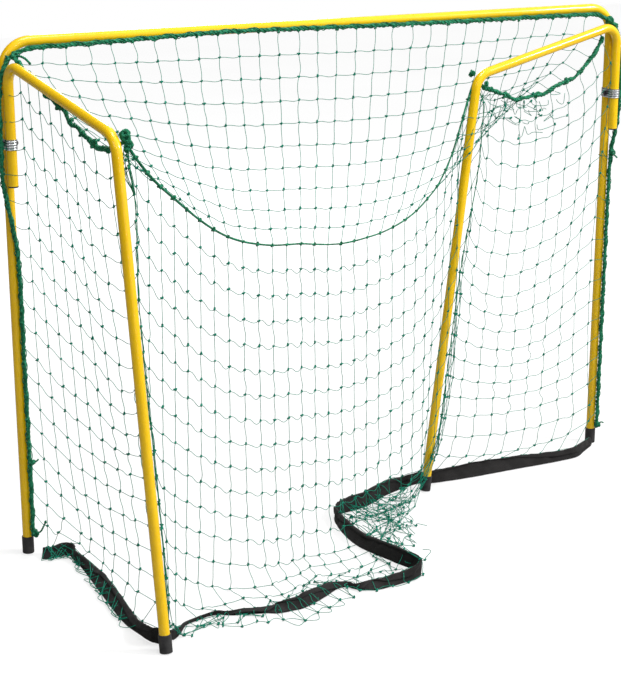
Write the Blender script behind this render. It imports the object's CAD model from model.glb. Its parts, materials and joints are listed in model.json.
"""A small football goal with one leg folded in, its net, ropes and webbing hem.

The posts stand on the X axis at x = +-710 mm and the crossbar joins their tops.  The net
lies behind them, toward +Y.  Left is +X, as seen from behind; the floor is z = 0.
The left leg reaches back, and the right leg is folded in beside the crossbar.
Lengths are in millimetres up to the finished meshes; materials and the stage are in metres.
"""
import json
import math
import bpy
import numpy as np
from mathutils import Matrix, Vector

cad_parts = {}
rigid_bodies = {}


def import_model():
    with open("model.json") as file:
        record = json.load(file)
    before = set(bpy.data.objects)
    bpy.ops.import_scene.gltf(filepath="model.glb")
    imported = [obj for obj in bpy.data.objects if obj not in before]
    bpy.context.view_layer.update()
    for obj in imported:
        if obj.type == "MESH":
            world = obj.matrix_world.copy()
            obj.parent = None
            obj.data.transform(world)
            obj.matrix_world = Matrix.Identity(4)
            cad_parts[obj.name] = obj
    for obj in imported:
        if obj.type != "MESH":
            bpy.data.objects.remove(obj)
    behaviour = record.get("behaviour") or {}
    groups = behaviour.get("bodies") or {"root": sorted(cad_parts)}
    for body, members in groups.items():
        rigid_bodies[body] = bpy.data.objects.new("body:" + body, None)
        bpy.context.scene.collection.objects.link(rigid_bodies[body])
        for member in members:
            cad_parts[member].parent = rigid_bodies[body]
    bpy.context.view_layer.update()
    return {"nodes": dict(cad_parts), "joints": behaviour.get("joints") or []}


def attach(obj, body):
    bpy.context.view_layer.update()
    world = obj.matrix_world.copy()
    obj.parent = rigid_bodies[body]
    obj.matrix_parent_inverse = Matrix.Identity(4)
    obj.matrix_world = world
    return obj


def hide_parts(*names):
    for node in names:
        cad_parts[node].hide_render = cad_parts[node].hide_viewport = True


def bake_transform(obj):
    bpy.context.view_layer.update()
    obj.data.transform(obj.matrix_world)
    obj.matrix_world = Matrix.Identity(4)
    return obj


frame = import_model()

ROOT = frame["joints"][0]["parent"]
MM = 0.001

# =====================================================================================
# Net layout.  The skirt is a grid of knots from the left post (column 0) round the two
# leg corners to the right post (LAST_COL).  The roof hangs from the crossbar and shares
# the skirt's top row with the ropes.
# =====================================================================================
LEFT, RIGHT = 1, -1                  # side signs, along X
SKIRT_ROWS = 19
LEFT_CORNER, RIGHT_CORNER, LAST_COL = 10, 40, 50
MID_COL = LAST_COL // 2
ROOF_ROWS = LEFT_CORNER
ROOF_COLS = RIGHT_CORNER - LEFT_CORNER
ROOF_HALF_WIDTH = 678.0
MESH_DROP = 50.0                     # starting height between two rows

POST_X, HINGE_Y = 710.0, 28.0
LEG_ANGLE = {LEFT: math.radians(8.4), RIGHT: math.radians(83.6)}    # turned in from +Y
KNEE_REACH, FOOT_REACH, KNEE_HEIGHT = 402, 523, 920
TAPE_WIDTH = 38.0
HEM_STEP = 2.6                       # spacing of points along the webbing
CORD, LOOSE_CORD = 0.62, 0.72        # net cord radii
CORD_POINTS = 8                      # points along one side of a mesh
UP = np.array([0, 0, 1.0])

# The hem on the floor.  Columns: net column that meets it, x and y of its low edge, how far
# its top edge leans inward, and how high that edge stands.  Where lean and height together
# are less than the webbing's width, it is folded over or twisted.
HEM = np.array([
    (0, 699, 50, 27, 13), (1, 686, 56, 27, 14), (2, 668, 58, 26, 14), (3, 646, 58, 20, 18),
    (3.6, 641, 82, 6, 17), (4.2, 642, 124, 14, 14), (5.2, 647, 201, 25, 12),
    (6.1, 651, 257, 26, 14), (7.6, 658, 364, 24, 12), (8.4, 658, 417, 19, 14),
    (9.0, 652, 453, 11, 20), (9.4, 646, 486, 2, 28), (9.7, 640, 502, 0, 30),
    (10, 628, 515, -2, 30), (10.35, 612, 510, 0, 21), (10.8, 596, 500, 3, 16),
    (11.2, 580, 485, 5, 6), (11.7, 562, 467, 4, 3), (12.3, 544, 459, 4, 3),
    (13.1, 521, 453, 4, 3), (14, 496, 451, 5, 3), (15, 474, 462, 8, 2.5),
    (16, 449, 472, 13, 3), (17, 424, 481, 14, 3), (18, 402, 489, 20, 3),
    (19, 382, 500, 33, 5), (20.1, 353, 502, 29, 10), (21, 330, 502, 26, 14),
    (22, 302, 492, 22, 17), (23, 269, 476, 20, 15), (24, 237, 458, 16, 10),
    (24.9, 215, 458, 13, 4), (25.5, 206, 472, 8, 6), (26.2, 192, 486, 18, 8),
    (27.1, 166, 496, 32, 6), (28, 135, 496, 22, 12), (28.9, 102, 493, 17, 16),
    (29.5, 77, 490, 9, 24), (30, 57, 477, 1, 34), (30.35, 55, 451, -2, 35),
    (30.75, 65, 423, -5, 34), (31.3, 79, 376, -13, 30), (31.7, 90, 338, -15, 27),
    (32.1, 98, 296, -16, 26), (32.5, 97, 247, -16, 25), (32.8, 88, 194, -13, 24),
    (33.1, 75, 150, -8, 24), (33.4, 58, 127, 4, 24), (33.9, 38, 124, 16, 24),
    (34.7, 11, 121, 22, 24), (35.5, -21, 114, 20, 26), (36.2, -49, 101, 16, 27),
    (36.9, -76, 86, 12, 29), (37.6, -106, 72, 11, 29), (38.4, -136, 62, 9, 27),
    (39.2, -160, 56, 8, 26), (39.6, -178, 51, 6, 25), (40, -198, 51, 10, 24),
    (40.7, -229, 62, 19, 22), (42, -287, 69, 23, 24), (43.3, -345, 73, 24, 25),
    (45.3, -433, 75, 24, 23), (46.9, -512, 79, 16, 22), (48, -569, 80, 12, 22),
    (48.9, -616, 76, 10, 22), (49.5, -658, 50, 7, 22), (50, -694, 28, 6, 20)], float)

# Rope paths, as (x, y, z).  The rear rope sags between the two knees.
REAR_ROPE = [
    (634, 424, 910), (615, 415, 884), (574, 400, 835), (532, 384, 797), (467, 360, 742),
    (415, 342, 707), (365, 325, 684), (293, 300, 664), (214, 270, 652), (150, 246, 638),
    (89, 222, 630), (15, 194, 630), (-30, 178, 634), (-73, 162, 643), (-109, 149, 654),
    (-150, 133, 676), (-184, 121, 700), (-224, 107, 752), (-256, 92, 812), (-284, 76, 866),
    (-306, 66, 908)]
SIDE_ROPE_LEFT = [
    (690, 14, 1014), (697, 70, 1000), (692, 120, 984), (684, 185, 962), (675, 245, 936),
    (667, 300, 909), (660, 345, 896), (651, 390, 892), (642, 410, 898), (634, 424, 910)]
SIDE_ROPE_RIGHT = [
    (-664, 33, 972), (-654, 34, 954), (-624, 37, 924), (-593, 41, 899), (-550, 45, 884),
    (-512, 50, 872), (-465, 54, 862), (-424, 60, 862), (-368, 66, 879), (-330, 70, 896),
    (-306, 66, 908)]
RIGHT_POST_KNOT = (-728, 22, 912)    # the skirt's top knot at the right post
ROOF_RIGHT_KNOT = (-690, 14, 1014)   # the roof's own corner, up on the crossbar

# The head rope climbs the left post, runs along the crossbar and down the right post.
HEAD_ROPE = [
    (702.5, 14.2, 40), (702, 14.4, 200), (702.5, 14.2, 400), (702.5, 14.4, 580),
    (706.5, 15.6, 650), (718, 18, 720), (728.6, 21, 780), (728.8, 25, 850), (728.4, 24, 920),
    (722, 17.5, 968), (712.5, 16.6, 996.5), (699, 14.6, 1012), (681, 13.0, 1021),
    (655, 12.2, 1027.4), (625, 12.2, 1028.2), (480, 14.2, 1031.0), (380, 15.9, 1034.0),
    (250, 16.8, 1037.2), (100, 16.2, 1034.8), (-100, 14.8, 1031.8), (-300, 13.6, 1029.8),
    (-450, 13.0, 1029.2), (-625, 12.2, 1028.2), (-655, 12.2, 1027.2), (-681, 13.0, 1020.5),
    (-698, 14.6, 1010), (-711, 16.8, 993), (-722, 17.5, 968), (-728.4, 24, 920),
    (-728.8, 25, 850), (-728.0, 20, 780), (-719, 16, 720), (-716.5, 15.4, 640),
    (-716, 15.4, 400), (-716.5, 15.2, 200), (-716, 15.4, 40)]
BAR_ROPE = np.array(sorted(point for point in HEAD_ROPE if point[2] > 1015), float)

# Where the net's edge meets the head rope on each post, as (z, x, y).
POST_ROPE = {
    LEFT: np.array([
        (40, 702.5, 14.2), (580, 702.5, 14.4), (650, 706.5, 15.6), (720, 718, 18),
        (780, 728.6, 21), (850, 728.8, 25), (920, 728.4, 24), (968, 722, 17.5)]),
    RIGHT: np.array([
        (40, -716, 15.4), (640, -716.5, 15.4), (720, -719, 16), (780, -728, 20),
        (850, -728.8, 25), (920, -728.4, 24)])}


# =====================================================================================
# Paths
# =====================================================================================
def unit(vectors, tiny=1e-12):
    return vectors / (np.linalg.norm(vectors, axis=-1)[..., None] + tiny)


def lengths_along(points):
    steps = np.linalg.norm(np.diff(points[:, :3], axis=0), axis=1)
    return np.concatenate([[0], np.cumsum(steps)])


def interp_rows(wanted, known, rows):
    """Rows of a table interpolated column by column."""
    return np.stack([np.interp(wanted, known, column) for column in rows.T], 1)


def catmull_rom(points):
    """Eight points for each span of a smooth curve through the points."""
    ends = np.vstack([2 * points[0] - points[1], points, 2 * points[-1] - points[-2]])
    curve = []
    for i in range(len(points) - 1):
        before, here, ahead, after = ends[i:i + 4]
        for t in np.linspace(0, 1, 9)[:-1]:
            curve.append(0.5 * ((2 * here) + (ahead - before) * t
                                + (2 * before - 5 * here + 4 * ahead - after) * t * t
                                + (3 * here - before - 3 * ahead + after) * t ** 3))
    curve.append(points[-1])
    return np.array(curve)


def smooth_path(points, spans):
    """A smooth curve through the points, in even spans.  Columns after xyz follow along."""
    curve = catmull_rom(np.array(points, float))
    along = lengths_along(curve)
    return interp_rows(np.linspace(0, along[-1], spans + 1), along, curve)


def floor_path(points, spans, lowest=1.5):
    path = smooth_path(points, spans)
    path[:, 2] = np.maximum(path[:, 2], lowest)
    return path


def frames_along(points, start=None):
    """Two directions square to a path, carried along it without twisting."""
    tangents = unit(np.gradient(points, axis=0))
    first = tangents[0]
    if start is None:
        start = np.cross(first, [0.3, 0.2, 1.0] if abs(first[2]) < 0.9 else [1.0, 0.2, 0])
    normals = np.zeros_like(points)
    normal = start
    for i, tangent in enumerate(tangents):
        normal = unit(normal - (normal @ tangent) * tangent)
        normals[i] = normal
    return normals, np.cross(tangents, normals)


def leg_point(side, reach, z, across=0.0):
    """A point on a leg, reach out from its hinge; across is square to the leg, level."""
    angle = LEG_ANGLE[side]
    return np.array([
        side * POST_X - side * reach * math.sin(angle) - side * across * math.cos(angle),
        HINGE_Y + reach * math.cos(angle) - across * math.sin(angle), z])


def hem_curve():
    """Dense hem: net column, low edge, top edge, outward, share of width shown, length."""
    curve = catmull_rom(HEM)
    share = np.linspace(0, 1, 9)[:-1]
    # net columns run evenly between stations
    curve[:-1, 0] = (HEM[:-1, :1] + np.diff(HEM[:, :1], axis=0) * share).ravel()
    along = np.concatenate([[0], np.cumsum(np.hypot(*np.diff(curve[:, 1:3], axis=0).T))])
    length = np.arange(0, along[-1], HEM_STEP)
    curve = interp_rows(length, along, curve)
    heading = np.gradient(curve[:, 1:3], axis=0)
    for _ in range(3):
        heading[1:-1] = (heading[:-2] + 2 * heading[1:-1] + heading[2:]) / 4
    heading = unit(heading, tiny=0.0)
    flat = np.zeros(len(curve))
    outward = np.stack([heading[:, 1], -heading[:, 0], flat], 1)
    low = np.stack([curve[:, 1], curve[:, 2], flat + 1.6], 1)
    top = low - outward * curve[:, 3:4] + UP * np.clip(curve[:, 4:5], 2, 37)
    shown = np.clip(np.linalg.norm(top - low, axis=1) / TAPE_WIDTH, 0.15, 1.0)
    return curve[:, 0], low, top, outward, shown, length


HEM_COL, HEM_LOW, HEM_TOP, HEM_OUT, HEM_SHOWN, HEM_LENGTH = hem_curve()
COLUMNS = np.arange(LAST_COL + 1)
COL_LOW = interp_rows(COLUMNS, HEM_COL, HEM_LOW)
COL_OUT = interp_rows(COLUMNS, HEM_COL, HEM_OUT)


# =====================================================================================
# Drape of the net
# =====================================================================================
def number_knots():
    """Knot numbers of the skirt and the roof, which share edges, and the knot count."""
    skirt = np.arange((SKIRT_ROWS + 1) * (LAST_COL + 1)).reshape(SKIRT_ROWS + 1, -1)
    own_corner = skirt.size
    count = own_corner + 1 + ROOF_ROWS * (ROOF_COLS - 1)
    roof = np.zeros((ROOF_ROWS + 1, ROOF_COLS + 1), int)
    roof[:, 0] = skirt[0, :ROOF_ROWS + 1]
    roof[:, -1] = skirt[0, LAST_COL - np.arange(ROOF_ROWS + 1)]
    roof[0, -1] = own_corner
    roof[-1] = skirt[0, LEFT_CORNER:RIGHT_CORNER + 1]
    roof[:-1, 1:-1] = np.arange(own_corner + 1, count).reshape(ROOF_ROWS, -1)
    return skirt, roof, count


SKIRT, ROOF, KNOT_COUNT = number_knots()


def place_post_edges(knots):
    for side, column, top in ((LEFT, 0, 944.0), (RIGHT, LAST_COL, 884.0)):
        rope = POST_ROPE[side]
        for row in range(1, SKIRT_ROWS):
            z = top - (top - 92.0) * (row - 1) / (SKIRT_ROWS - 2)
            x, y = (np.interp(z, rope[:, 0], rope[:, k]) for k in (1, 2))
            knots[SKIRT[row, column]] = (x, y + 2.0, z)


def place_corner_columns(knots):
    """The corner columns run down close to the long legs."""
    for side, column in ((LEFT, LEFT_CORNER), (RIGHT, RIGHT_CORNER)):
        top, bottom = knots[SKIRT[0, column], 2], knots[SKIRT[SKIRT_ROWS, column], 2] + 8
        for row in range(1, SKIRT_ROWS):
            z = top - (top - bottom) * row / SKIRT_ROWS
            reach = KNEE_REACH + (KNEE_HEIGHT - z) / KNEE_HEIGHT * (FOOT_REACH - KNEE_REACH)
            if side == LEFT:
                gap = np.interp(z, [0, 560, 650, 720, 790, 840, 910],
                                [19, 17, 18, 23, 29, 29, 17])
                knots[SKIRT[row, column]] = leg_point(side, reach - 6, z, gap)
            else:
                gap = 19 + 15 * math.exp(-((z - 720) / 150.0) ** 2)
                knots[SKIRT[row, column]] = leg_point(side, reach - gap, z, -2)


def place_knots():
    """Starting places: the edges where they will stay, and the rest strung between."""
    knots = np.zeros((KNOT_COUNT, 3))
    knots[SKIRT[0, :LEFT_CORNER + 1]] = smooth_path(SIDE_ROPE_LEFT, LEFT_CORNER)
    knots[SKIRT[0, RIGHT_CORNER:LAST_COL]] = smooth_path(
        SIDE_ROPE_RIGHT, LAST_COL - RIGHT_CORNER - 1)[::-1]
    knots[SKIRT[0, LAST_COL]] = RIGHT_POST_KNOT
    knots[ROOF[0, -1]] = ROOF_RIGHT_KNOT
    knots[ROOF[-1]] = smooth_path(REAR_ROPE, ROOF_COLS)

    top, low = knots[SKIRT[0]], interp_rows(COLUMNS, HEM_COL, HEM_TOP)
    knots[SKIRT[SKIRT_ROWS]] = low
    for row in range(1, SKIRT_ROWS):
        z = np.maximum(top[:, 2] - row * MESH_DROP, low[:, 2] + (SKIRT_ROWS - row) * 4.0)
        share = np.clip((top[:, 2] - z) / np.maximum(top[:, 2] - low[:, 2], 1), 0, 1)[:, None]
        knots[SKIRT[row]] = top * (1 - share) + low * share
        knots[SKIRT[row], 2] = z
    place_post_edges(knots)
    place_corner_columns(knots)

    for k in range(1, ROOF_COLS):
        x = ROOF_HALF_WIDTH - 2 * ROOF_HALF_WIDTH * k / ROOF_COLS
        y, z = (np.interp(x, BAR_ROPE[:, 0], BAR_ROPE[:, axis]) for axis in (1, 2))
        knots[ROOF[0, k]] = (x, y + 2.0, z - 3.5)
    front, back = knots[ROOF[0, 1:-1]], knots[ROOF[-1, 1:-1]]
    for row in range(1, ROOF_ROWS):
        share = row / ROOF_ROWS
        knots[ROOF[row, 1:-1]] = front * (1 - share) + back * share

    pinned = np.zeros(KNOT_COUNT, bool)
    pinned[SKIRT[[0, -1]]] = True
    pinned[SKIRT[:, [0, LEFT_CORNER, RIGHT_CORNER, LAST_COL]]] = True
    pinned[ROOF[0]] = True
    return knots, pinned


def cord_limits(knots, pinned):
    """Groups of cords that share no knot, with each cord's longest and shortest length."""
    groups = []

    def add(start, end, longest, shortest):
        longest = np.broadcast_to(longest, start.shape).ravel()
        start, end = start.ravel(), end.ravel()
        keep = ~(pinned[start] & pinned[end])
        longest = longest[keep]
        groups.append((start[keep], end[keep], longest, np.minimum(shortest, longest * 0.7)))

    # a roof column has little more cord than it needs between the crossbar and the rope
    reach = np.linalg.norm(knots[ROOF[-1, 1:-1]] - knots[ROOF[0, 1:-1]], axis=1) / ROOF_ROWS
    slack = np.interp(np.arange(1, ROOF_COLS), [1, 22, 27], [1.012, 1.012, 1.07])
    roof_longest = np.clip(reach * slack, 30.0, 52.0)
    for first in (0, 1):
        rows = np.arange(first, SKIRT_ROWS, 2)
        add(SKIRT[rows, 1:LAST_COL], SKIRT[rows + 1, 1:LAST_COL], 49.5, 26.0)
        cols = np.arange(first, LAST_COL, 2)
        add(SKIRT[1:SKIRT_ROWS][:, cols], SKIRT[1:SKIRT_ROWS][:, cols + 1], 49.0, 25.0)
        rows = np.arange(first, ROOF_ROWS, 2)
        add(ROOF[rows, 1:-1], ROOF[rows + 1, 1:-1], roof_longest, 26.0)
        cols = np.arange(first, ROOF_COLS, 2)
        add(ROOF[1:ROOF_ROWS][:, cols], ROOF[1:ROOF_ROWS][:, cols + 1], 49.0, 25.0)
    return groups


def leg_capsules():
    """Both ends and the radius of each leg tube that the net rests against."""
    capsules = []
    for side in (LEFT, RIGHT):
        capsules += [
            (leg_point(side, 0, 770), leg_point(side, 0, 985), 13.0),
            (leg_point(side, 8, 1001), leg_point(side, 380, 923), 13.0),
            (leg_point(side, 404, 905), leg_point(side, FOOT_REACH, 0), 13.5)]
    return capsules


def collide(knots, before, free):
    """Keep the free knots off the floor and outside the legs."""
    under = (knots[:, 2] < 2.6) & free
    knots[under, 2] = 2.6
    knots[under, :2] += (before[under, :2] - knots[under, :2]) * 0.5
    for start, end, radius in leg_capsules():
        axis = end - start
        share = np.clip(((knots - start) @ axis) / (axis @ axis), 0, 1)
        away = knots - (start + share[:, None] * axis)
        distance = np.sqrt((away * away).sum(1)) + 1e-9
        hit = (distance < radius) & free
        knots[hit] += away[hit] * ((radius - distance[hit]) / distance[hit])[:, None]


def drape(steps, iterations):
    damping, gravity, top_speed = 0.95, 1.1, 10
    knots, pinned = place_knots()
    groups = cord_limits(knots, pinned)
    free = ~pinned
    mobility = np.where(pinned, 0.0, 1.0)
    velocity = np.zeros_like(knots)
    knots[free] += np.random.RandomState(7).normal(0, 1.5, (int(free.sum()), 3))
    for _ in range(steps):
        before = knots.copy()
        velocity *= damping
        knots = knots + velocity
        knots[free, 2] -= gravity
        for iteration in range(iterations):
            for start, end, longest, shortest in groups:
                gap = knots[end] - knots[start]
                length = np.sqrt((gap * gap).sum(1)) + 1e-9
                excess = np.where(
                    length > longest, length - longest,
                    np.where(length < shortest, (length - shortest) * 0.2, 0.0))
                move_start, move_end = mobility[start], mobility[end]
                shift = (excess / length / (move_start + move_end))[:, None] * gap
                knots[start] += shift * move_start[:, None]
                knots[end] -= shift * move_end[:, None]
            if iteration % 4 == 3:
                collide(knots, before, free)
        velocity = knots - before
        velocity[pinned] = 0
        speed = np.linalg.norm(velocity, axis=1)
        fast = speed > top_speed
        velocity[fast] *= (top_speed / speed[fast])[:, None]
    return knots


KNOTS = drape(*(((340, 16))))


# =====================================================================================
# How the net follows the legs: 1 rides on the leg, 0 stays on the front frame
# =====================================================================================
def ease(x):
    x = np.clip(x, 0, 1)
    return x * x * (3 - 2 * x)


def column_follow(column):
    """How far a net column follows its own side's leg."""
    column = np.asarray(column, float)
    inward = np.where(column <= MID_COL, column, LAST_COL - column)
    fade = 1 - ease((inward - LEFT_CORNER) / (MID_COL - LEFT_CORNER))
    return np.where(inward <= LEFT_CORNER, np.minimum(1.0, inward), fade)


def near_hem_follow(points):
    """Loose meshes on the floor follow the stretch of webbing that they lie beside."""
    near = (HEM_COL > 24) & (HEM_COL < 40)
    gaps = points[:, None, :2] - HEM_LOW[near][None, :, :2]
    closeness = 1 / ((gaps ** 2).sum(-1) + 300.0) ** 2
    return (column_follow(HEM_COL[near])[None] * closeness).sum(1) / closeness.sum(1)


def knot_follow():
    follow = np.zeros(KNOT_COUNT)
    follow[SKIRT] = COL_FOLLOW
    follow[SKIRT[0, [0, LAST_COL]]] = 0.0
    follow[SKIRT[0, [1, LAST_COL - 1]]] = 0.95
    for row in range(1, ROOF_ROWS):
        for k in range(1, ROOF_COLS):
            inward = min(k, ROOF_COLS - k)
            near_side = max(0, 1 - inward / 4)
            hold = row / ROOF_ROWS * (1 - near_side) + follow[SKIRT[0, row]] * near_side
            follow[ROOF[row, k]] = (1 - ease(inward / (ROOF_COLS / 2))) * hold
    return follow


COL_FOLLOW = column_follow(COLUMNS)
FOLLOW = knot_follow()


# =====================================================================================
# Mesh helpers
# =====================================================================================
def add_mesh(name, points, faces, material, slot=None, uv=None):
    """Make an object in the scene; a product piece also has a slot and smooth shading."""
    mesh = bpy.data.meshes.new(name)
    mesh.from_pydata(points, [], faces)
    if uv is not None:
        layer = mesh.uv_layers.new(name="UVMap")
        corners = np.zeros(len(mesh.loops), np.int32)
        mesh.loops.foreach_get("vertex_index", corners)
        layer.data.foreach_set("uv", uv[corners].astype(np.float32).ravel())
    if slot:
        mesh.polygons.foreach_set("use_smooth", [True] * len(mesh.polygons))
    mesh.update()
    piece = bpy.data.objects.new(name, mesh)
    bpy.context.scene.collection.objects.link(piece)
    mesh.materials.append(material)
    return piece


def blend_piece(piece, replaced):
    """Blend a piece between the front frame and a leg, with its own weights."""
    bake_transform(piece)
    if replaced:
        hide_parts(*replaced)


def circles(centres, first, second, radius, sides):
    angle = np.arange(sides)[:, None] * 2 * math.pi / sides
    spokes = np.cos(angle) * first[..., None, :] + np.sin(angle) * second[..., None, :]
    return centres[..., None, :] + np.asarray(radius)[..., None, None] * spokes


class CordMesh:
    """Collects cords, ropes and knots into one mesh, with a blend weight for each vertex."""

    def __init__(self):
        self.points, self.faces, self.follow, self.count = [], [], [], 0

    def add_rings(self, rings, follow, closed=False):
        """Skin tubes given as rings (tubes, rings, sides, xyz)."""
        tubes, count, sides, _ = rings.shape
        self.points.append(rings.reshape(-1, 3))
        self.follow.append(np.repeat(np.broadcast_to(follow, (tubes, count)).ravel(), sides))
        here = self.count + np.arange(tubes * count * sides).reshape(tubes, count, sides)
        ahead = np.roll(here, -1, axis=1)
        quads = np.stack([here, np.roll(here, -1, 2), np.roll(ahead, -1, 2), ahead], -1)
        if not closed:
            quads = quads[:, :-1]
        self.faces.extend(quads.reshape(-1, 4).tolist())
        if not closed:
            self.faces.extend(here[:, 0, ::-1].tolist())
            self.faces.extend(here[:, -1].tolist())
        self.count += here.size

    def cords(self, paths, radius, follow):
        """Many short five-sided cords, paths (cords, points, xyz)."""
        tangents = unit(np.gradient(paths, axis=1))
        span = unit(paths[:, -1] - paths[:, 0])
        square = np.where(np.abs(span[:, 2:3]) < 0.8, UP[None], np.array([[1.0, 0.35, 0]]))
        first = np.cross(span, square)[:, None, :]
        first = unit(first - (first * tangents).sum(2)[..., None] * tangents)
        self.add_rings(circles(paths, first, np.cross(tangents, first), radius, 5), follow)

    def long_tube(self, path, radius, follow, sides=5):
        self.add_rings(circles(path, *frames_along(path), radius, sides)[None], follow)

    def rope(self, path, radius, follow, pitch, step=3.2, wobble=0.0, seed=1):
        """A laid rope: three strands wound round the path."""
        path = np.asarray(path, float)
        given = lengths_along(path)
        count = max(6, int(given[-1] / step))
        along = np.linspace(0, given[-1], count)
        follow, radius = (np.interp(along, given, np.broadcast_to(values, (len(path),)))
                          for values in (follow, radius))
        centre = interp_rows(along, given, path)
        first, second = frames_along(centre)
        swell = np.ones(count)
        if wobble:
            x = np.linspace(0, given[-1] / 38.0, count)
            phase = np.random.RandomState(seed).uniform(0, 6.28, 6)
            swell = 1 + wobble * (0.5 * np.sin(x * 1.3 + phase[0])
                                  + 0.35 * np.sin(x * 2.9 + phase[1])
                                  + 0.3 * np.sin(x * 5.1 + phase[2]))
        strand = radius * 0.54
        for k in range(3):
            angle = (2 * math.pi * (along / pitch + k / 3))[:, None]
            around = np.cos(angle) * first + np.sin(angle) * second
            self.long_tube(centre + ((radius - strand) * swell)[:, None] * around,
                           strand * (0.85 + 0.15 * swell), follow, sides=6)

    def knots(self, places, size, follow, seed=5):
        """Small overhand knots: a closed trefoil of cord at each place."""
        count = len(places)
        rand = np.random.RandomState(seed)
        turn = np.arange(14) * 2 * math.pi / 14
        x = (np.sin(turn) + 1.6 * np.sin(2 * turn)) / 2.6
        y = (np.cos(turn) - 1.6 * np.cos(2 * turn)) / 2.6
        z = -0.55 * np.sin(3 * turn)
        trefoil = np.stack([x * 1.32, z * 0.75, y * 0.80], 1)
        size = size * rand.uniform(0.88, 1.12, count)
        angles = rand.uniform(-0.7, 0.7, (count, 3))
        tilt, spin = angles[:, 1] + 0.6, angles[:, 2]
        cos_t, sin_t, cos_s, sin_s = np.cos(tilt), np.sin(tilt), np.cos(spin), np.sin(spin)
        turned = np.array([[cos_s * cos_t, -sin_s, cos_s * sin_t],
                           [sin_s * cos_t, cos_s, sin_s * sin_t],
                           [-sin_t, np.zeros(count), cos_t]])
        offset = np.einsum("ijn,kj->nki", turned, trefoil) * size[:, None, None]
        centre = places[:, None, :] + offset
        tangents = unit(np.roll(centre, -1, axis=1) - np.roll(centre, 1, axis=1))
        first = unit(offset - (offset * tangents).sum(2)[..., None] * tangents)
        rings = circles(centre, first, np.cross(tangents, first), (size * 0.5)[:, None], 5)
        self.add_rings(rings, np.asarray(follow)[..., None], closed=True)

    def make(self, name, material, slot):
        return add_mesh(name, (np.concatenate(self.points) * MM).tolist(), self.faces,
                        material, slot)

    def make_riding(self, name, carrier, replaced):
        """Make a rope piece that rides wholly on one part."""
        piece = self.make(name, ROPE, "rope_cord")
        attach(piece, carrier)
        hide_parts(replaced)

    def make_blended(self, name, material, slot, replaced):
        piece = self.make(name, material, slot)
        blend_piece(piece, replaced)


# =====================================================================================
# Materials, in metres
# =====================================================================================
def feed(node, inputs):
    """Set each input of a node to a value, or link a socket to it."""
    for key, value in inputs.items():
        if isinstance(value, bpy.types.NodeSocket):
            node.id_data.links.new(value, node.inputs[key])
        else:
            node.inputs[key].default_value = value


class Shading:
    """Short ways of adding nodes to a node tree."""

    def __init__(self, tree):
        self.tree = tree

    def add(self, kind, inputs=None, **settings):
        node = self.tree.nodes.new("ShaderNode" + kind)
        for key, value in settings.items():
            setattr(node, key, value)
        feed(node, inputs or {})
        return node

    def math(self, operation, *values):
        return self.add("Math", dict(enumerate(values)), operation=operation).outputs[0]

    def wave(self, angle):
        """The sine of an angle, moved into 0 to 1."""
        return self.math("MULTIPLY_ADD", self.math("SINE", angle), 0.5, 0.5)

    def mix(self, factor, first, second):
        # 6, 7 and output 2 are the mix node's colour sockets
        return self.add("Mix", {0: factor, 6: first, 7: second}, data_type="RGBA").outputs[2]

    def ramp(self, factor, stops):
        """Stops are (position, colour); a single number is a grey."""
        node = self.add("ValToRGB", {0: factor})
        elements = node.color_ramp.elements
        while len(elements) < len(stops):
            elements.new(0.5)
        for element, (position, colour) in zip(elements, stops):
            element.position = position
            element.color = (*(colour if isinstance(colour, tuple) else (colour,) * 3), 1)
        return node.outputs[0]

    def object_coords(self):
        coords = self.add("TexCoord").outputs["Object"]
        return self.add("Mapping", {0: coords}).outputs[0]

    def noise(self, vector, scale, detail=4.0, roughness=0.5):
        return self.add("TexNoise", {"Vector": vector, "Scale": scale, "Detail": detail,
                                     "Roughness": roughness}).outputs["Fac"]

    def bump(self, height, strength, distance):
        return self.add("Bump", {"Height": height, "Strength": strength,
                                 "Distance": distance}).outputs[0]


def new_material(name):
    material = bpy.data.materials.new(name)
    material.use_nodes = True
    material.node_tree.nodes.clear()
    shading = Shading(material.node_tree)
    output = shading.add("OutputMaterial")
    surface = shading.add("BsdfPrincipled")
    feed(output, {0: surface.outputs[0]})
    return material, shading, surface


def paint_material():
    """Yellow paint, slightly mottled, with small darker scuffs."""
    material, shading, surface = new_material("yellow_powder_coat")
    coords = shading.object_coords()
    yellow = shading.ramp(shading.noise(coords, scale=9.0, detail=3), [
        (0.3, (0.90, 0.545, 0.001)), (0.55, (0.93, 0.575, 0.001)), (0.8, (0.95, 0.60, 0.002))])
    scuffs = shading.ramp(shading.noise(coords, scale=160.0, detail=5, roughness=0.65),
                          [(0.70, 0.0), (0.80, 1.0)])
    feed(surface, {
        "Base Color": shading.mix(scuffs, yellow, (0.60, 0.33, 0.02, 1)),
        "Roughness": shading.ramp(shading.noise(coords, scale=60.0),
                                  [(0.3, 0.20), (0.75, 0.34)]),
        "Coat Weight": 0.6,
        "Coat Roughness": 0.06,
        "Specular IOR Level": 0.22,
        "Normal": shading.bump(shading.noise(coords, scale=420.0, detail=3),
                               strength=0.05, distance=0.0004)})
    return material


def rubber_material():
    material, shading, surface = new_material("black_moulded_rubber")
    coords = shading.object_coords()
    feed(surface, {
        "Base Color": shading.ramp(shading.noise(coords, scale=70, detail=5), [
            (0.35, (0.010, 0.010, 0.011)), (0.8, (0.035, 0.034, 0.034))]),
        "Roughness": shading.ramp(shading.noise(coords, scale=240),
                                  [(0.3, 0.45), (0.8, 0.72)]),
        "Normal": shading.bump(shading.noise(coords, scale=700),
                               strength=0.25, distance=0.0005)})
    return material


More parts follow.
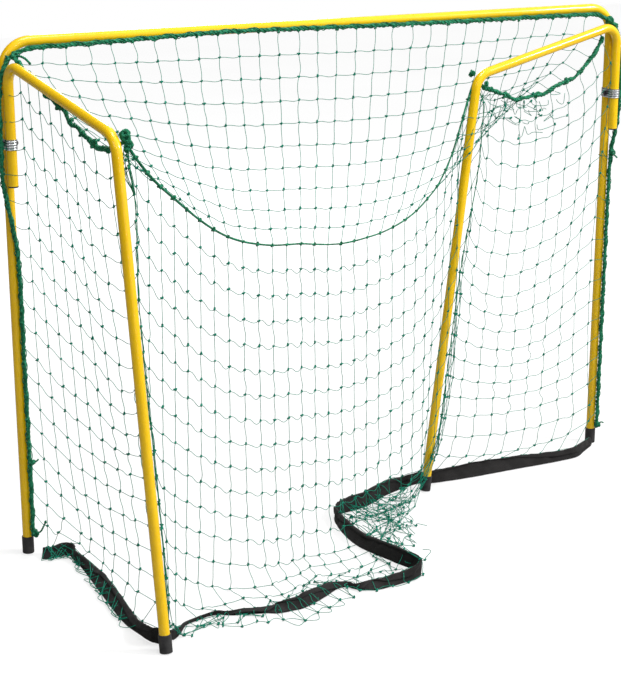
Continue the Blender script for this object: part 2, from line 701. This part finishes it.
def strap_material():
    """Bare metal with level grooves, one every 5 mm of height."""
    groove_pitch = 0.005
    material, shading, surface = new_material("zinc_strap")
    coords = shading.object_coords()
    height = shading.add("SeparateXYZ", {0: coords}).outputs[2]
    grooves = shading.wave(shading.math("MULTIPLY", height, 2 * math.pi / groove_pitch))
    feed(surface, {
        "Metallic": 1.0,
        "Base Color": shading.ramp(grooves, [
            (0.0, (0.16, 0.17, 0.18)), (0.35, (0.55, 0.56, 0.58)), (1.0, (0.86, 0.87, 0.88))]),
        "Roughness": shading.ramp(shading.noise(coords, scale=300, detail=5),
                                  [(0.3, 0.22), (0.8, 0.42)]),
        "Normal": shading.bump(grooves, strength=0.6, distance=0.0012)})
    return material


def bolt_material():
    material, shading, surface = new_material("blackened_bolt")
    coords = shading.object_coords()
    feed(surface, {
        "Metallic": 0.9,
        "Base Color": shading.ramp(shading.noise(coords, scale=500, detail=5), [
            (0.3, (0.03, 0.03, 0.035)), (0.8, (0.13, 0.13, 0.14))]),
        "Roughness": shading.ramp(shading.noise(coords, scale=900, detail=3),
                                  [(0.3, 0.3), (0.8, 0.55)]),
        "Normal": shading.bump(shading.noise(coords, scale=1200, detail=3),
                               strength=0.2, distance=0.0003)})
    return material


def cord_material(name, dark, middle, light, scale, smoothest, roughest):
    """Green cord with diagonal fibres."""
    material, shading, surface = new_material(name)
    coords = shading.object_coords()
    fibres = shading.add(
        "TexWave", {"Vector": coords, "Scale": 260.0, "Distortion": 3.0, "Detail": 2.0},
        wave_type="BANDS", bands_direction="DIAGONAL").outputs["Fac"]
    feed(surface, {
        "Base Color": shading.ramp(shading.noise(coords, scale, detail=5, roughness=0.6),
                                   [(0.28, dark), (0.52, middle), (0.78, light)]),
        "Roughness": shading.ramp(shading.noise(coords, scale * 3.1, roughness=0.6),
                                  [(0.3, smoothest), (0.75, roughest)]),
        "Specular IOR Level": 0.12,
        "Normal": shading.bump(fibres, strength=0.55, distance=0.0006)})
    return material


def webbing_material():
    """Herringbone ribs crossed by warp yarns; u runs along the tape and v across it."""
    herringbone, rib_pitch, warp_pitch = 0.006, 0.0026, 0.0020
    material, shading, surface = new_material("woven_webbing")
    tape = shading.add("SeparateXYZ", {0: shading.add("UVMap").outputs[0]}).outputs

    def yarns(distance, pitch):
        return shading.wave(shading.math("MULTIPLY_ADD", distance, 2 * math.pi / pitch, 0.0))

    zigzag = shading.math("PINGPONG", tape[1], herringbone)
    ribs = yarns(shading.math("ADD", tape[0], zigzag), rib_pitch)
    weave = shading.math("MULTIPLY", ribs, yarns(tape[1], warp_pitch))
    dust = shading.noise(shading.object_coords(), scale=26, detail=6, roughness=0.6)
    shade = shading.math("MULTIPLY_ADD", weave, 0.55, shading.math("MULTIPLY", dust, 0.5))
    feed(surface, {
        "Base Color": shading.ramp(shade, [
            (0.15, (0.003, 0.0028, 0.0028)), (0.45, (0.010, 0.009, 0.009)),
            (0.85, (0.034, 0.030, 0.029))]),
        "Roughness": 0.78,
        "Sheen Weight": 0.05,
        "Specular IOR Level": 0.25,
        "Normal": shading.bump(weave, strength=0.8, distance=0.0008)})
    return material


PAINT = paint_material()
RUBBER = rubber_material()
STRAP = strap_material()
BOLT = bolt_material()
NET = cord_material("net_twine", dark=(0.004, 0.090, 0.056), middle=(0.010, 0.225, 0.145),
                    light=(0.020, 0.42, 0.27), scale=420.0, smoothest=0.38, roughest=0.6)
ROPE = cord_material("green_rope", dark=(0.005, 0.055, 0.022), middle=(0.015, 0.185, 0.088),
                     light=(0.07, 0.45, 0.27), scale=190.0, smoothest=0.32, roughest=0.55)
WEBBING = webbing_material()

CAD_MATERIALS = [                    # by the start of the piece's name; the rest is rope
    (("front_frame", "support_leg"), PAINT),
    (("post_cap", "leg_cap", "arm_plug"), RUBBER),
    (("hinge_strap",), STRAP),
    (("strap_bolt", "strap_nut"), BOLT),
    (("hem_tape",), WEBBING),
    (("",), ROPE)]

for name, cad_piece in frame["nodes"].items():
    cad_piece.data.materials.clear()
    cad_piece.data.materials.append(
        next(material for starts, material in CAD_MATERIALS if name.startswith(starts)))


# =====================================================================================
# Net cords and knots
# =====================================================================================
def surface_directions(grid):
    """Unit directions across and square to a grid of points (rows, columns, xyz)."""
    across = np.gradient(grid, axis=1)
    return unit(across), unit(np.cross(across, np.gradient(grid, axis=0)))


def hang_cords(mesh, rand, start, end, sideways, sag, down, roof):
    """Slack cords between knots, waved because each knot turns the cord a little."""
    start, end, sideways = start.ravel(), end.ravel(), sideways.reshape(-1, 3)
    from_knot, to_knot = KNOTS[start], KNOTS[end]
    count = len(start)
    distance = np.linalg.norm(to_knot - from_knot, axis=1)
    length = np.full(count, 50.5)
    if roof:
        length = np.minimum(length, distance * 1.02 + 0.8)
    spare = np.clip(length - distance, 0.0, 24.0)
    bend = 0.62 * np.sqrt(spare * np.maximum(distance, 8)) / math.pi
    if down:
        swing = rand.normal(0.2, 0.55, count)
        calm = 0.45 if roof else 1.0
        wave = -(calm * (0.8 + 0.9 * bend) * rand.uniform(0.1, 1.35, count))[:, None] * sideways
    else:
        swing = rand.normal(0.0, 0.45, count)
        calm = 0.5 if roof else 1.0
        wave = (calm * (0.6 + bend) * rand.uniform(0.3, 1.3, count))[:, None] * UP
    droop = np.sqrt(3 * np.maximum(distance, 5) * spare / 8)
    share = np.linspace(0, 1, CORD_POINTS)
    t = share[None, :, None]
    bow = 4 * t * (1 - t)
    paths = from_knot[:, None] * (1 - t) + to_knot[:, None] * t
    paths = paths - bow * (droop * sag)[:, None, None] * UP
    paths = paths + bow * (swing * (1 + 0.3 * droop))[:, None, None] * sideways[:, None, :]
    paths = paths + np.sin(2 * math.pi * t) * wave[:, None, :]
    paths[:, :, 2] = np.maximum(paths[:, :, 2], 1.5)
    follow = FOLLOW[start][:, None] * (1 - share) + FOLLOW[end][:, None] * share
    mesh.cords(paths, CORD, follow)


def hang_meshes(mesh, rand, first, last, roof_first, roof_last, seed):
    """Skirt and roof cords and knots.  The seam column belongs to the left half."""
    across, square = surface_directions(KNOTS[SKIRT])
    inner = np.arange(first + 1, min(last, LAST_COL - 1) + 1)
    hang_cords(mesh, rand, SKIRT[:-1, inner], SKIRT[1:, inner], across[:-1, inner],
               sag=0.0, down=True, roof=False)
    hang_cords(mesh, rand, SKIRT[1:, first:last], SKIRT[1:, first + 1:last + 1],
               square[1:, first:last], sag=0.38, down=False, roof=False)
    across, square = surface_directions(KNOTS[ROOF])
    roof_inner = np.arange(roof_first + 1, min(roof_last, ROOF_COLS - 1) + 1)
    hang_cords(mesh, rand, ROOF[:-1, roof_inner], ROOF[1:, roof_inner],
               across[:-1, roof_inner], sag=0.1, down=True, roof=True)
    hang_cords(mesh, rand, ROOF[1:ROOF_ROWS, roof_first:roof_last],
               ROOF[1:ROOF_ROWS, roof_first + 1:roof_last + 1],
               square[1:ROOF_ROWS, roof_first:roof_last], sag=0.25, down=False, roof=True)
    tied = np.unique(np.concatenate([SKIRT[1:, inner].ravel(),
                                     ROOF[1:ROOF_ROWS, roof_inner].ravel()]))
    mesh.knots(KNOTS[tied], 2.35, FOLLOW[tied], seed=seed)


def lay_outer_row(mesh, rand, first, last):
    """The last row of meshes lies on the floor outside the hem; returns its knots."""
    cols = np.arange(max(first, LEFT_CORNER + 1), min(last, 37) + 1)
    reach = rand.uniform(30, 50, len(cols))
    reach = reach * np.where(cols > 33, 0.75, 1.0) * np.where(cols < 14, 0.65, 1.0)
    reach = np.where((cols > 24) & (cols < 34), 5.0, reach)
    outer = COL_LOW[cols] + COL_OUT[cols] * reach[:, None]
    outer[:, 2] = rand.uniform(2.2, 4.2, len(cols))
    outer[:, :2] += rand.normal(0, 3, (len(cols), 2)) * (reach > 10)[:, None]
    tied = KNOTS[SKIRT[SKIRT_ROWS, cols]]
    over = COL_LOW[cols] + COL_OUT[cols] * 3.0 + np.array([0, 0, 5.0])
    for j, col in enumerate(cols):
        out = COL_OUT[col]
        for sign in ((-1, 1) if 18 < col < 25 else (-1,)):   # cords that cross the webbing
            side = np.array([-out[1], out[0], 0]) * (rand.uniform(2, 10) * sign)
            middle = (tied[j] + over[j]) / 2 + out * 3.0 + side * 0.6 + [0, 0, 2]
            path = floor_path([tied[j] + out * 2.0, middle, over[j] + side, outer[j]], 9)
            mesh.cords(path[None], CORD, COL_FOLLOW[col])
        if j == 0:
            continue
        for turn, bulge in enumerate((rand.uniform(-4, 4), rand.uniform(10, 26))):
            if turn and (rand.uniform() < 0.35 or 24 < col < 35):
                continue
            middle = (outer[j] + outer[j - 1]) / 2 + out * bulge + rand.normal(0, 2.0, 3)
            path = floor_path([outer[j - 1], middle, outer[j]], 11)
            follow = np.linspace(COL_FOLLOW[cols[j - 1]], COL_FOLLOW[col], 12)
            mesh.cords(path[None], CORD, follow)
    return cols, outer


def cross_left_hem(mesh, rand):
    """Meshes of the left hem lie across the webbing's outer face."""
    def station(position):
        return int(np.clip(position, 0, len(HEM_COL) - 1))

    for j in range(24):
        col = 0.7 + 6.6 * j / 23
        start = int(np.interp(col, HEM_COL, np.arange(len(HEM_COL))))
        skew = rand.uniform(24, 62) * (1 if j % 4 else -0.5) * (0.35 if col < 2.6 else 1.0)
        path = []
        for share, lift in ((0.0, 2.0), (0.35, 3.4), (0.7, 3.6), (1.0, 3.2)):
            k = station(start + share * skew / HEM_STEP)
            path.append(HEM_TOP[k] * (1 - share) + HEM_LOW[k] * share
                        + HEM_OUT[k] * lift + [0, 0, 2.0])
        k = station(start + skew * 1.35 / HEM_STEP)
        path.append(HEM_LOW[k] + HEM_OUT[k] * rand.uniform(4, 15) + [0, 0, 1.2])
        k = station(k + rand.uniform(6, 14))
        path.append(HEM_LOW[k] + HEM_OUT[k] * 2.6 + [0, 0, 2.0])
        k = station(k + 6)
        path.append((HEM_TOP[k] + HEM_LOW[k]) / 2 + HEM_OUT[k] * 3.4 + [0, 0, 2.0])
        follow = column_follow(col)
        mesh.cords(floor_path(path, 16, lowest=1.6)[None], LOOSE_CORD, follow)
        if j % 3 == 0:
            mesh.knots(path[-2][None], 2.4, follow, seed=300 + j)


def heap_meshes(mesh, rand):
    """Slack meshes heaped between the arms of the webbing's bend, beside the folded leg."""
    rows, cols = 8, 9
    heap = np.array([[(-165 + 31 * i + rand.normal(0, 7),
                       95 + 44 * j + rand.normal(0, 8) + 10 * i * (j % 2) * 0.3,
                       2.4 + max(0.0, rand.normal(3, 3)))
                      for i in range(cols)] for j in range(rows)])
    x, y = heap[..., 0], heap[..., 1]
    left_edge = np.interp(y, [90, 124, 150, 296, 423, 477], [30, 36, 66, 92, 60, 52])
    inside = (x < left_edge) & (x > np.interp(y, [90, 470], [-150, 30]))

    def lay(points, spans):
        path = floor_path(points, spans)
        mesh.cords(path[None], LOOSE_CORD, near_hem_follow(path))

    for j in range(rows):
        for i in range(cols):
            for row, col in ((j, i + 1), (j + 1, i)):
                if row < rows and col < cols and inside[j, i] and inside[row, col]:
                    start, end = heap[j, i], heap[row, col]
                    shift = np.array([*rand.normal(0, 8, 2), abs(rand.normal(0, 3))])
                    lay([start, (start + end) / 2 + shift, end], 9)
    spots = heap[inside]
    mesh.knots(spots, 2.5, near_hem_follow(spots), seed=77)
    for _ in range(85):
        start = spots[rand.randint(len(spots))] + [
            rand.normal(0, 9), rand.normal(0, 9), rand.uniform(1, 7)]
        far = spots[rand.randint(len(spots))] - start
        end = start + far * min(1.0, 46 / max(1.0, np.linalg.norm(far[:2])))
        middle = (start + end) / 2 + [
            rand.normal(0, 13), rand.normal(0, 13), rand.uniform(0, 6)]
        lay([start, middle, end], 10)


def tangle_under_side_rope(mesh, rand):
    """Slack meshes hanging in a tangle just under the right side rope."""
    for j in range(30):
        start = KNOTS[SKIRT[0, rand.randint(RIGHT_CORNER + 1, RIGHT_CORNER + 6)]] + np.array([
            rand.uniform(-18, 14), rand.normal(0, 3),
            -rand.uniform(6, 30) - (34 if j % 3 == 0 else 0)])
        span = np.array([np.clip(rand.normal(-4, 26), -45, 26), rand.normal(0, 4),
                         np.clip(rand.normal(-6, 13), -36, 12)])
        first = start + span * 0.35 + [
            rand.normal(0, 9), rand.normal(0, 3), rand.normal(-12, 5)]
        second = start + span * 0.7 + [
            rand.normal(0, 9), rand.normal(0, 3), rand.normal(-7, 6)]
        end = start + span
        mesh.cords(smooth_path([start, first, second, end], 12)[None], 0.66, 1.0)
        if j % 2 == 0:
            mesh.knots(end[None], 2.4, 1.0, seed=400 + j)


def net_half(name, cols, roof_cols, leg, replaced, seed):
    rand = np.random.RandomState(seed)
    mesh = CordMesh()
    hang_meshes(mesh, rand, *cols, *roof_cols, seed)
    outer_cols, outer = lay_outer_row(mesh, rand, *cols)
    if leg == "leg_left":
        cross_left_hem(mesh, rand)
    mesh.knots(outer, 2.4, COL_FOLLOW[outer_cols], seed=seed + 1)
    if leg == "leg_right":
        heap_meshes(mesh, rand)
        tangle_under_side_rope(mesh, rand)
    mesh.make_blended(name, NET, "net_cord", replaced)


net_half("net_left_half", (0, MID_COL), (0, ROOF_COLS // 2), "leg_left",
         ["roof_net", "back_net", "side_net_left"], seed=21)
net_half("net_right_half", (MID_COL, LAST_COL), (ROOF_COLS // 2, ROOF_COLS), "leg_right",
         ["side_net_right"], seed=22)


# =====================================================================================
# Ropes
# =====================================================================================
def head_rope():
    mesh = CordMesh()
    path = smooth_path(HEAD_ROPE, 400)
    mesh.rope(path, 4.6, 0.0, pitch=30, wobble=0.16, seed=3)
    # where each mesh is caught on the rope
    caught = np.concatenate([SKIRT[1:SKIRT_ROWS, 0], SKIRT[1:SKIRT_ROWS, LAST_COL],
                             ROOF[0, 1:ROOF_COLS]])
    mesh.knots(KNOTS[caught], 3.3, 0.0, seed=13)
    # two thin cords wound loosely round it
    given = lengths_along(path)
    along = np.linspace(0, given[-1], 1500)
    centre, first, second = (
        interp_rows(along, given, rows)
        for rows in (path, *frames_along(path, start=np.array([0.0, 1.0, 0.0]))))
    for k, (pitch, phase) in enumerate(((47.0, 0.0), (61.0, 2.1))):
        angle = (2 * math.pi * along / pitch + phase + 0.6 * np.sin(along / 83.0 + k))[:, None]
        radius = (5.1 + 0.5 * np.sin(along / 29.0 + k * 2))[:, None]
        mesh.long_tube(centre + radius * (np.cos(angle) * first + np.sin(angle) * second),
                       0.95, 0.0)
    mesh.make_riding("head_rope_laid", ROOT, "head_rope")


def gather(path, seed):
    """Make a rope path uneven in place and thickness (column 4)."""
    rand = np.random.RandomState(seed + 50)
    share = np.linspace(0, 1, len(path))
    envelope = np.sin(math.pi * share) ** 0.5
    for height, waves in ((2.6, 5.0), (1.8, 9.0), (0.9, 17.0)):
        phase = rand.uniform(0, 6.28, 3)
        for axis, part in enumerate((0.6, 0.5, 1.0)):
            path[:, axis] += height * part * envelope * np.sin(
                2 * math.pi * waves * share + phase[axis])
    path[:, 4] *= (1 + 0.16 * np.sin(2 * math.pi * 13 * share + 1.0)
                   + 0.10 * np.sin(2 * math.pi * 29 * share))


def net_rope(name, knots, radius, replaced, pitch, wobble, seed, gathered=False):
    """A rope through a run of net knots, with a short wrap at each one."""
    mesh = CordMesh()
    places, follow = KNOTS[knots], FOLLOW[knots]
    radius = np.broadcast_to(radius, (len(knots),))
    path = smooth_path(np.column_stack([places, follow, radius]), (len(knots) - 1) * 6)
    if gathered:
        gather(path, seed)
    mesh.rope(path[:, :3], path[:, 4], path[:, 3], pitch, step=2.2, wobble=wobble, seed=seed)
    mesh.knots(places[1:-1], radius[1:-1] * 0.85 + 1.3, follow[1:-1], seed=seed)
    mesh.make_blended(name, ROPE, "rope_cord", replaced)


def rear_rope(tag, first, last, radius_cols, radii, replaced, seed):
    cols = np.arange(first, last + 1)
    net_rope(f"rear_rope_{tag}", SKIRT[0, cols],
             np.interp(cols, radius_cols, radii), replaced, pitch=11, wobble=0.15, seed=seed)


def side_rope(tag, first, last, seed):
    net_rope(f"side_rope_gathered_{tag}", SKIRT[0, first:last + 1], 4.9,
             [f"side_rope_{tag}"], pitch=24, wobble=0.34, seed=seed, gathered=True)


def corner_cord(tag, column, radius):
    """A thin rope down the corner column beside a long leg."""
    mesh = CordMesh()
    mesh.rope(smooth_path(KNOTS[SKIRT[:, column]], 120), radius, 1.0, pitch=9, step=2.5)
    mesh.make_riding(f"corner_cord_laid_{tag}", f"leg_{tag}", f"corner_cord_{tag}")


head_rope()
rear_rope("left", LEFT_CORNER, MID_COL, [LEFT_CORNER, LEFT_CORNER + 5, MID_COL],
          [3.3, 2.6, 1.8], ["rear_rope"], seed=31)
rear_rope("right", MID_COL, RIGHT_CORNER, [MID_COL, RIGHT_CORNER - 4, RIGHT_CORNER],
          [1.8, 2.0, 2.8], [], seed=32)
side_rope("left", 0, LEFT_CORNER, seed=33)
side_rope("right", RIGHT_CORNER, LAST_COL - 1, seed=34)
corner_cord("left", LEFT_CORNER, 0.75)
corner_cord("right", RIGHT_CORNER, 1.2)

# =====================================================================================
# Big knots and ties
# =====================================================================================
# Knots of each lashing: centre, size, random seed, and the points of each cut tail.
LASHINGS = {
    "left_post_mid": [((700, 20, 200), 7.5, 41, [[(694, 26, 203), (688, 29, 209)]])],
    "left_post_low": [
        ((699, 20, 46), 8.0, 42, [[(691, 28, 52), (686, 33, 64), (683, 36, 72)]]),
        ((682.5, 36, 74), 3.6, 43, [])],
    "right_post_low": [((-717, 20, 50), 7.0, 44, [[(-722, 25, 56), (-727, 28, 54)]])],
    "right_post_top": [
        ((-719, 20, 712), 8.0, 45,
         [[(-714, 27, 716), (-706, 30, 720)], [(-722, 26, 706), (-728, 28, 700)]])],
    "bar_left": [
        ((690, 15, 1015), 9.5, 46, [[(685, 31, 1015.5), (679, 42, 1012), (674, 51, 1005)]]),
        ((704, 12.5, 1010), 6.0, 50, []),
        ((673, 53, 1004), 3.4, 47, [])],
    "bar_right": [
        ((-692, 18, 1016), 10.5, 48, [[(-704, 26, 1002), (-713, 30, 985), (-716, 32, 968)]]),
        ((-706, 20, 1000), 10.0, 49, []),
        ((-714, 22, 982), 7.5, 52, [])]}


def big_knot(mesh, centre, size, seed, tails=(), follow=0.0):
    """A bulky hand-tied knot: four turns of rope pulled together, with cut tails."""
    rand = np.random.RandomState(seed)
    centre = np.array(centre, float)
    t = np.linspace(0, 2 * math.pi * 1.35, 26)[:, None]
    for _ in range(4):
        phase = rand.uniform(0, 6.28)
        axis = unit(rand.normal(0, 1, 3))
        first = unit(np.cross(axis, [0.3, 0.5, 0.8]))
        second = np.cross(axis, first)
        radius = size * (0.62 + 0.12 * np.sin(2 * t + phase))
        around = np.cos(t + phase) * first * 0.85 + np.sin(t + phase) * second
        path = (centre + rand.normal(0, size * 0.16, 3) + radius * around
                + axis * size * 0.28 * np.sin(t * 0.9 + phase))
        mesh.rope(path, size * 0.30, follow, pitch=size * 1.6, step=max(1.2, size * 0.2))
    for tail in tails:
        mesh.rope(smooth_path([centre, *tail], 20), size * 0.26, follow,
                  pitch=size * 1.6, step=1.6)


def post_turn(mesh):
    """One turn of cord round the right post and the rope beside it."""
    post = np.array([-POST_X, 0.0, 703.5])
    to_rope = np.array([-718, 15.8, 703.5]) - post
    gap = np.linalg.norm(to_rope)
    first = to_rope / gap
    second = np.array([-first[1], first[0], 0])
    t = np.linspace(0, 2 * math.pi, 26)[:, None]
    path = post + first * (gap / 2 - 2.5) + (10 + gap / 2 - 0.6) * np.cos(t) * first
    path = path + 11.6 * np.sin(t) * second + np.linspace(-0.5, 0.5, 26)[:, None] * UP
    mesh.rope(path, 0.75, 0.0, pitch=8, step=2.0)


def lashing(place):
    mesh = CordMesh()
    if place == "right_post_top":
        post_turn(mesh)
    for knot in LASHINGS[place]:
        big_knot(mesh, *knot)
    mesh.make_riding(f"lashing_{place}", ROOT, f"tie_{place}")


def left_knee_knot():
    mesh = CordMesh()
    knee, low = KNOTS[SKIRT[0, LEFT_CORNER]], KNOTS[SKIRT[2, LEFT_CORNER]]
    big_knot(mesh, knee + np.array([-1.0, 0, 11.0]), 11.5, 61, follow=1.0)
    big_knot(mesh, knee + np.array([-8.0, -2, -4.0]), 9.0, 64, follow=1.0)
    big_knot(mesh, knee + np.array([-3.0, 0, -14.0]), 6.0, 67, follow=1.0)
    rand = np.random.RandomState(8)
    for i in range(7):                       # meshes drawn together under the knot
        middle = (knee + low) / 2 + rand.normal(0, 9, 3) * np.array([1, 0.6, 0.4])
        path = smooth_path([knee + rand.normal(0, 4, 3) - [4, 0, 14], middle,
                            low + rand.normal(0, 1.5, 3)], 14)
        mesh.long_tube(path, 0.75, 1.0)
        mesh.knots(middle[None], 2.4, 1.0, seed=90 + i)
    mesh.make_riding("knee_knot_left", "leg_left", "corner_tie_left")


def right_knee_knot():
    """Three knots at the folded leg's knee, and one at the far end of its side rope."""
    mesh = CordMesh()
    big_knot(mesh, leg_point(RIGHT, KNEE_REACH, 924, 17.5), 8.2, 71, follow=1.0)
    big_knot(mesh, leg_point(RIGHT, KNEE_REACH, 924, 16.5), 6.5, 74, follow=1.0)
    big_knot(mesh, leg_point(RIGHT, 383, 902, -7), 6.0, 76, follow=1.0)
    rope_end = KNOTS[SKIRT[0, LAST_COL - 1]]
    big_knot(mesh, rope_end + np.array([0, 1, 2]), 6.5, 80,
             tails=[[rope_end + [4, 2, 12]]], follow=1.0)
    mesh.make_riding("knee_knot_right", "leg_right", "corner_tie_right")


for place in LASHINGS:
    lashing(place)
left_knee_knot()
right_knee_knot()

# =====================================================================================
# Webbing hem
# =====================================================================================
TAPE_POINTS = 17                     # points across the tape, on each face


def tape_section(i, x, crumple, ripple, phase):
    """The two faces of the webbing at hem point i, as points across the tape."""
    across = unit(HEM_TOP[i] - HEM_LOW[i])
    along = np.array([-HEM_OUT[i][1], HEM_OUT[i][0], 0])
    square = unit(np.cross(across, along))
    if square[2] < 0:
        square = -square
    squeeze = min(1.0, HEM_SHOWN[i] / 0.5)
    fold = max(HEM_SHOWN[i], 0.5)
    shares = np.linspace(0, 1, TAPE_POINTS)
    path = []
    for v in shares:                 # past the fold line the tape turns back over the rest
        reach, lift = v, 0.0
        if v > fold:
            reach = 2 * fold - v
            lift = 2.6 * min(1.0, (v - fold) / 0.06)
        edge = math.exp(-((v - fold) / 0.05) ** 2) if fold < 0.99 else 0.0
        belly = (math.sin(math.pi * v) * (1.4 + 0.45 * crumple)
                 + math.sin(2 * math.pi * v + phase) * ripple * 1.2)
        bulk = (1 - squeeze) * 3.5 * math.sin(3.2 * math.pi * v + x * 40)
        path.append(HEM_LOW[i] + across * (reach * TAPE_WIDTH * squeeze + edge * 0.4)
                    + square * (lift + belly * 0.7 + bulk))
    path = np.array(path)
    normals = unit(np.cross(along, unit(np.gradient(path, axis=0))))
    half_thickness = np.full((TAPE_POINTS, 1), 0.7)
    half_thickness[[0, 1, -2, -1]] *= 1.35           # thicker selvedges
    faces = []
    for side, lowest in ((1, 0.5 + 0.9), (-1, 0.5)):
        face = path + normals * side * half_thickness
        face[:, 2] = np.maximum(face[:, 2] + 0.3 * crumple * shares, lowest)
        faces.append(face)
    return np.concatenate(faces)


def tape_faces(rows):
    """Quads over both faces, both long edges and both ends of the tape."""
    points, ring = TAPE_POINTS, 2 * TAPE_POINTS
    faces = []
    for i in range(rows - 1):
        near, far = i * ring, (i + 1) * ring
        for j in range(points - 1):
            faces.append((near + j, near + j + 1, far + j + 1, far + j))
            back, back_far = near + points + j, far + points + j
            faces.append((back, back_far, back_far + 1, back + 1))
        faces.append((near, far, far + points, near + points))
        faces.append((near + points - 1, near + ring - 1, far + ring - 1, far + points - 1))
    for i, order in ((0, 1), (rows - 1, -1)):
        for j in range(i * ring, i * ring + points - 1):
            faces.append((j, j + points, j + points + 1, j + 1)[::order])
    return faces


def webbing(name, first_col, last_col, replaced):
    within = np.where((HEM_COL >= first_col - 1e-6) & (HEM_COL <= last_col + 1e-6))[0]
    # each stretch after the first starts on the last point of the one before
    picked = np.arange(within[0] - (1 if first_col > 0 else 0), within[-1] + 1)
    x = HEM_LENGTH[picked] / 1000.0
    phase = np.random.RandomState(99).uniform(0, 6.28, 8)
    crumple = (2.2 * np.sin(x * 47 + phase[0]) + 1.5 * np.sin(x * 91 + phase[1])
               + 0.8 * np.sin(x * 170 + phase[2]))
    ripple = 0.7 * np.sin(x * 120 + phase[4]) + 0.5 * np.sin(x * 233 + phase[5])
    points = np.concatenate([
        tape_section(i, x[row], crumple[row], ripple[row], phase[3])
        for row, i in enumerate(picked)])
    ring = 2 * TAPE_POINTS
    widths = np.tile(np.linspace(0, 1, TAPE_POINTS), 2 * len(picked)) * TAPE_WIDTH * MM
    piece = add_mesh(name, (points * MM).tolist(), tape_faces(len(picked)), WEBBING,
                     "hem_webbing", uv=np.stack([np.repeat(x, ring), widths], 1))
    blend_piece(piece, replaced)


webbing("hem_webbing_left", 0, LEFT_CORNER, ["hem_tape_left"])
webbing("hem_webbing_back_left", LEFT_CORNER, MID_COL, ["hem_tape_back"])
webbing("hem_webbing_back_right", MID_COL, RIGHT_CORNER, [])
webbing("hem_webbing_right", RIGHT_CORNER, LAST_COL, ["hem_tape_right"])


# =====================================================================================
# Stage, lights and camera, in metres
# =====================================================================================
def floor_material():
    """Pale grey that glows to the camera, more so farther from the middle."""
    material, shading, surface = new_material("pale_floor")
    grey = shading.ramp(shading.noise(shading.object_coords(), scale=2.0, detail=3),
                        [(0.3, 0.34), (0.8, 0.37)])
    distance = shading.add("VectorMath", {0: shading.object_coords()}, operation="LENGTH")
    # inputs 1 to 4: from min, from max, to min, to max
    glow = shading.add("MapRange", {0: distance.outputs["Value"],
                                    1: 0.8, 2: 3.4, 3: 0.63, 4: 0.75}).outputs[0]
    seen = shading.add("LightPath").outputs["Is Camera Ray"]
    feed(surface, {
        "Base Color": grey,
        "Roughness": 0.9,
        "Specular IOR Level": 0.1,
        "Emission Color": (1, 1, 1, 1),
        "Emission Strength": shading.math("MULTIPLY", glow, seen)})
    return material


def add_floor(half_width=9, cells=24, z=-0.0006):
    marks = np.linspace(-half_width, half_width, cells + 1)
    points = [(float(x), float(y), z) for y in marks for x in marks]
    row = cells + 1
    faces = [(j * row + i, j * row + i + 1, (j + 1) * row + i + 1, (j + 1) * row + i)
             for j in range(cells) for i in range(cells)]
    add_mesh("floor", points, faces, floor_material())


def set_world():
    """White to the camera; otherwise a grey gradient, brightest high up behind the right."""
    world = bpy.data.worlds.new("studio")
    bpy.context.scene.world = world
    world.use_nodes = True
    shading = Shading(world.node_tree)
    facing = shading.add(
        "VectorMath", {0: shading.add("TexCoord").outputs["Generated"],
                       1: (-0.60, 0.38, 0.70)}, operation="DOT_PRODUCT").outputs["Value"]
    gradient = shading.ramp(facing, [(0.0, 0.11), (0.35, 0.27), (0.7, 0.9), (1.0, 1.0)])
    seen = shading.add("LightPath").outputs["Is Camera Ray"]
    feed(world.node_tree.nodes["Background"], {
        0: shading.mix(seen, gradient, (1.0, 1.0, 1.0, 1)),
        1: shading.math("MULTIPLY_ADD", seen, 0.0, 1.0)})    # strength 1 for every ray


def area_light(name, location, target, size, energy):
    light = bpy.data.lights.new(name, "AREA")
    light.energy = energy
    light.size = size
    lamp = bpy.data.objects.new(name, light)
    bpy.context.scene.collection.objects.link(lamp)
    lamp.location = location
    aim = Vector(target) - Vector(location)
    lamp.rotation_euler = aim.to_track_quat("-Z", "Y").to_euler()
    return lamp


def add_lights():
    strip = area_light("strip", (0.45, 3.45, 1.5), (-0.05, 0.2, 0.55), size=0.06, energy=8.0)
    strip.data.shape = "RECTANGLE"
    strip.data.size_y = 2.4
    strip.visible_camera = False
    middle = (0, 0.2, 0.5)
    area_light("key", (-3.0, 2.3, 3.0), middle, size=0.6, energy=118)
    area_light("fill", (3.2, 2.4, 3.0), middle, size=1.4, energy=16)
    area_light("top", (0.2, 0.9, 4.2), middle, size=1.4, energy=76)
    area_light("front", (-1.2, -3.4, 2.4), (0, 0.0, 0.5), size=1.4, energy=52)


def add_camera():
    """Behind the goal and to its left, looking down on it."""
    location = (1.67993, 3.11726, 1.41027)
    azimuth, elevation, roll = -2.05141, -0.29054, -0.00175
    ahead = np.array([math.cos(elevation) * math.cos(azimuth),
                      math.cos(elevation) * math.sin(azimuth), math.sin(elevation)])
    level = unit(np.cross(ahead, UP))
    rise = np.cross(level, ahead)
    right = math.cos(roll) * level + math.sin(roll) * rise
    up = -math.sin(roll) * level + math.cos(roll) * rise
    data = bpy.data.cameras.new("camera")
    camera = bpy.data.objects.new("camera", data)
    bpy.context.scene.collection.objects.link(camera)
    pose = np.eye(4)
    pose[:3] = np.column_stack([right, up, -ahead, location])
    camera.matrix_world = Matrix(pose.tolist())
    data.sensor_width = 36.0
    data.lens = 89.0157895
    data.clip_start = 0.05
    data.clip_end = 60.0
    bpy.context.scene.camera = camera


add_floor()
set_world()
bpy.context.scene.view_settings.view_transform = "Standard"
bpy.context.scene.view_settings.look = "None"
add_lights()
add_camera()
